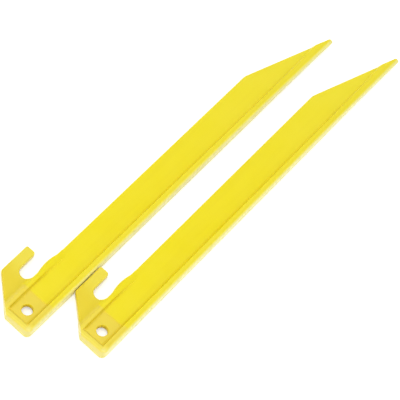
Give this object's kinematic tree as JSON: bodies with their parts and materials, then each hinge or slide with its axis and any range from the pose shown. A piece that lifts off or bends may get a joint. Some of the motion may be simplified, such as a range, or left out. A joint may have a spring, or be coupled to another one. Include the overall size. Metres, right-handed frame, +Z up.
{
  "type": "tent peg pair",
  "caption": "Long flat moulded plastic tent pegs with a tall back spine, bevelled point, head bar, eyelet and open rope hook, lying side by side.",
  "frame": {"origin": "centre of the pair's footprint, on the surface that the pegs lie on", "axes": "+X along the pegs from the struck heads to the points, +Y from the spines to the rope hooks, +Z up"},
  "size_m": [0.327, 0.0837, 0.0104],
  "materials": {
    "yellow_plastic": "satin moulded"
  },
  "bodies": {
    "root": {"peg_left": "yellow_plastic", "peg_right": "yellow_plastic"}
  },
  "joints": []
}
